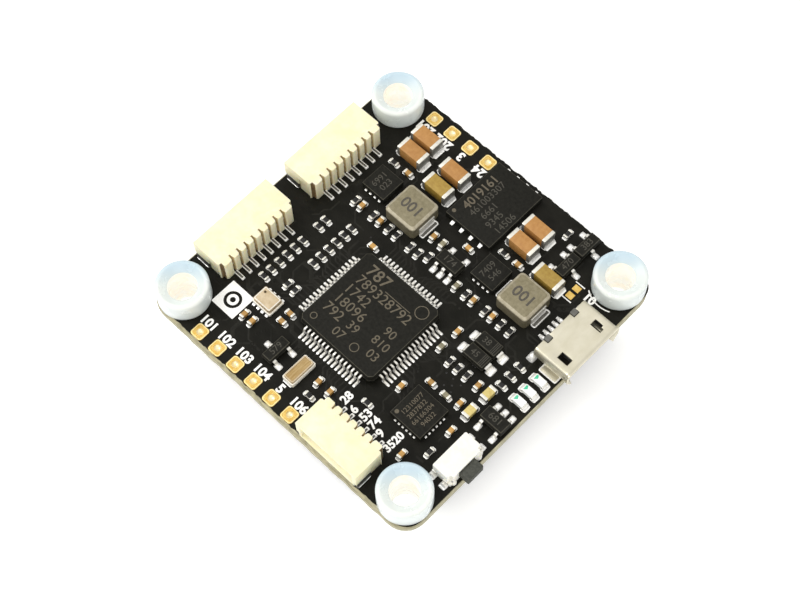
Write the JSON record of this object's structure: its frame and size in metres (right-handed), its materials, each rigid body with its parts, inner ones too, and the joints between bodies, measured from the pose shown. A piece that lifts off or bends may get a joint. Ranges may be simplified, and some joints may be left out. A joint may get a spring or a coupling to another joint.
{
  "type": "flight controller board",
  "caption": "Square electronic control board on soft corner grommets, with edge cable sockets, a USB socket, a side push button and surface-mounted parts.",
  "frame": {"origin": "centre of the mounting hole pattern, on the underside of the bare board", "axes": "+Z out of the populated face, +X towards the edge with the USB socket and push button, -Y towards the edge with the side cable socket"},
  "size_m": [0.0368, 0.036, 0.0068],
  "materials": {
    "mask": "satin near-black solder mask over glass-fibre laminate",
    "gold": "gold-plated copper lands",
    "silicone": "translucent bluish-white silicone",
    "epoxy": "dark moulded package with a fine matt texture",
    "tin": "bright tin plating",
    "ceramic_tan": "orange-tan capacitor ceramic",
    "ceramic_olive": "golden-olive capacitor ceramic",
    "ceramic_dark": "dark resistor coating",
    "ceramic_bead": "olive-grey ferrite",
    "core": "pressed grey-beige core",
    "lid": "satin metal lid",
    "crystal_base": "pale ceramic",
    "crystal_lid": "warm plated lid",
    "laminate": "dark laminate",
    "led_white": "white moulded base",
    "led_lens": "milky lens",
    "socket": "cream moulded nylon",
    "shell": "nickel-plated formed sheet",
    "black_plastic": "black moulded insulator",
    "button_cream": "cream moulded body",
    "plunger": "dark grey textured plunger",
    "spring": "thin spring sheet"
  },
  "bodies": {
    "board_assembly": {"bead_bodies": "ceramic_bead", "bead_ends": "tin", "button_contacts": "tin", "button_cover": "button_cream", "button_dome": "spring", "button_housing": "button_cream", "circuit_board": "mask", "crystal_base": "crystal_base", "crystal_lid": "crystal_lid", "diode_bodies": "epoxy", "diode_terminals": "tin", "filter_capacitor_bodies": "ceramic_olive", "filter_capacitor_ends": "tin", "flash_body": "epoxy", "flash_lands": "tin", "inductor_cores": "core", "inductor_terminals": "tin", "jumper_pads": "gold", "led_bases": "led_white", "led_ends": "tin", "led_lenses": "led_lens", "mcu_body": "epoxy", "mcu_leads": "tin", "motion_sensor_body": "epoxy", "motion_sensor_lands": "tin", "mounting_grommets": "silicone", "power_capacitor_bodies": "ceramic_tan", "power_capacitor_ends": "tin", "power_pads": "gold", "pressure_sensor_base": "laminate", "pressure_sensor_lands": "tin", "pressure_sensor_lid": "lid", "regulator_bodies": "epoxy", "regulator_lands": "tin", "resistor_bodies": "ceramic_dark", "resistor_ends": "tin", "side_socket_contacts": "tin", "side_socket_housing": "socket", "side_socket_tabs": "tin", "signal_pads": "gold", "small_capacitor_bodies": "ceramic_tan", "small_capacitor_ends": "tin", "small_regulator_bodies": "epoxy", "small_regulator_leads": "tin", "supply_capacitor_bodies": "ceramic_olive", "supply_capacitor_ends": "tin", "transistor_bodies": "epoxy", "transistor_leads": "tin", "usb_contacts": "gold", "usb_insulator": "black_plastic", "usb_shell": "shell", "wire_socket_contacts": "tin", "wire_socket_housings": "socket", "wire_socket_tabs": "tin"},
    "button_plunger": {"button_plunger": "plunger"}
  },
  "joints": [
    {"name": "button_press", "type": "slide", "parent": "board_assembly", "child": "button_plunger", "axis": [-1, 0, 0], "range_m": [0, 0.00025], "deforming": ["button_dome"]}
  ]
}
